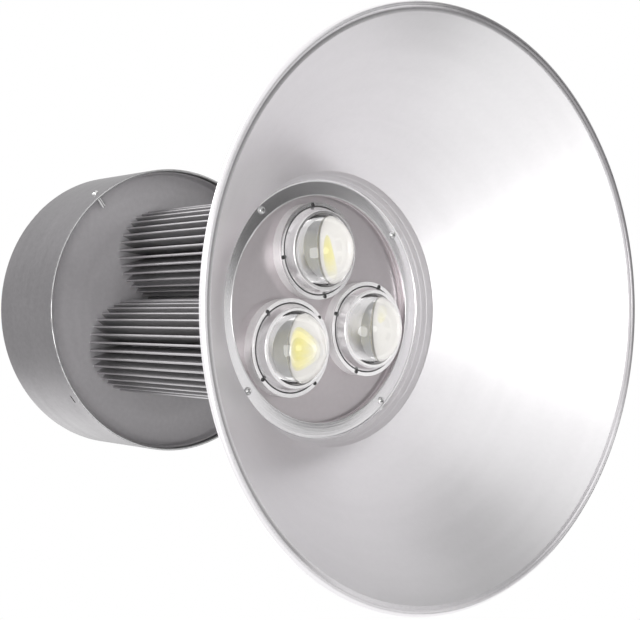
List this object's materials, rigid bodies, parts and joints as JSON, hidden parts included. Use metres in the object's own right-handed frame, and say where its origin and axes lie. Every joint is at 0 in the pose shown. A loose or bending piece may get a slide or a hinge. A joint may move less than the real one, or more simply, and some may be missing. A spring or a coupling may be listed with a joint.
{
  "type": "high bay light",
  "caption": "Hanging industrial light: a wide spun aluminium cone round lensed light sources, with finned heat sinks and a round driver drum under an eyebolt.",
  "frame": {"origin": "centre of the reflector's mouth, on the plane that its rolled rim rests on", "axes": "+Z along the light's axis, from the mouth up to the eyebolt; light shines down, to -Z; the first lens lies at 80 degrees from +X towards +Y"},
  "size_m": [0.4199, 0.42, 0.4801],
  "materials": {
    "spun_aluminium": "spun, satin, fine turning lines",
    "turned_aluminium": "fine turned face",
    "drum_aluminium": "matt spun sheet",
    "extruded_aluminium": "extruded, plain",
    "bright_ring": "drawn, polished",
    "glass": "clear, polished",
    "silver": "silvered",
    "white_board": "white solder mask",
    "phosphor": "yellow silicone",
    "silicone": "translucent grey",
    "black_rubber": "matt",
    "steel": "zinc plated",
    "dark_screw": "blackened",
    "black_nylon": "moulded",
    "lead_sleeve": "white silicone sleeve",
    "driver_aluminium": "plain sheet",
    "block_plastic": "moulded"
  },
  "bodies": {
    "root": {"reflector": "spun_aluminium", "reflector_gasket": "black_rubber", "reflector_screws": "steel", "base_plate": "turned_aluminium", "led_screws": "steel", "lens_screws": "dark_screw", "sink_base_screws": "steel", "sink_disc_screws": "steel", "drum_disc": "drum_aluminium", "drum_shell": "drum_aluminium", "drum_screws": "steel", "lead_grommets": "black_rubber", "splice_block": "block_plastic", "driver_lead": "lead_sleeve", "driver_case": "driver_aluminium", "driver_standoffs": "steel", "driver_screws": "steel", "eyebolt": "steel", "eyebolt_washers": "steel", "eyebolt_nut": "steel", "gland_body": "black_nylon", "gland_seal": "black_rubber", "gland_cap": "black_nylon", "gland_locknut": "black_nylon", "lens_holder_1": "bright_ring", "lens_bezel_1": "bright_ring", "lens_1": "glass", "lens_gasket_1": "silicone", "lens_cup_1": "silver", "led_board_1": "white_board", "led_phosphor_1": "phosphor", "heat_sink_1": "extruded_aluminium", "lead_1": "lead_sleeve", "lens_holder_2": "bright_ring", "lens_bezel_2": "bright_ring", "lens_2": "glass", "lens_gasket_2": "silicone", "lens_cup_2": "silver", "led_board_2": "white_board", "led_phosphor_2": "phosphor", "heat_sink_2": "extruded_aluminium", "lead_2": "lead_sleeve", "lens_holder_3": "bright_ring", "lens_bezel_3": "bright_ring", "lens_3": "glass", "lens_gasket_3": "silicone", "lens_cup_3": "silver", "led_board_3": "white_board", "led_phosphor_3": "phosphor", "heat_sink_3": "extruded_aluminium", "lead_3": "lead_sleeve"}
  },
  "joints": []
}
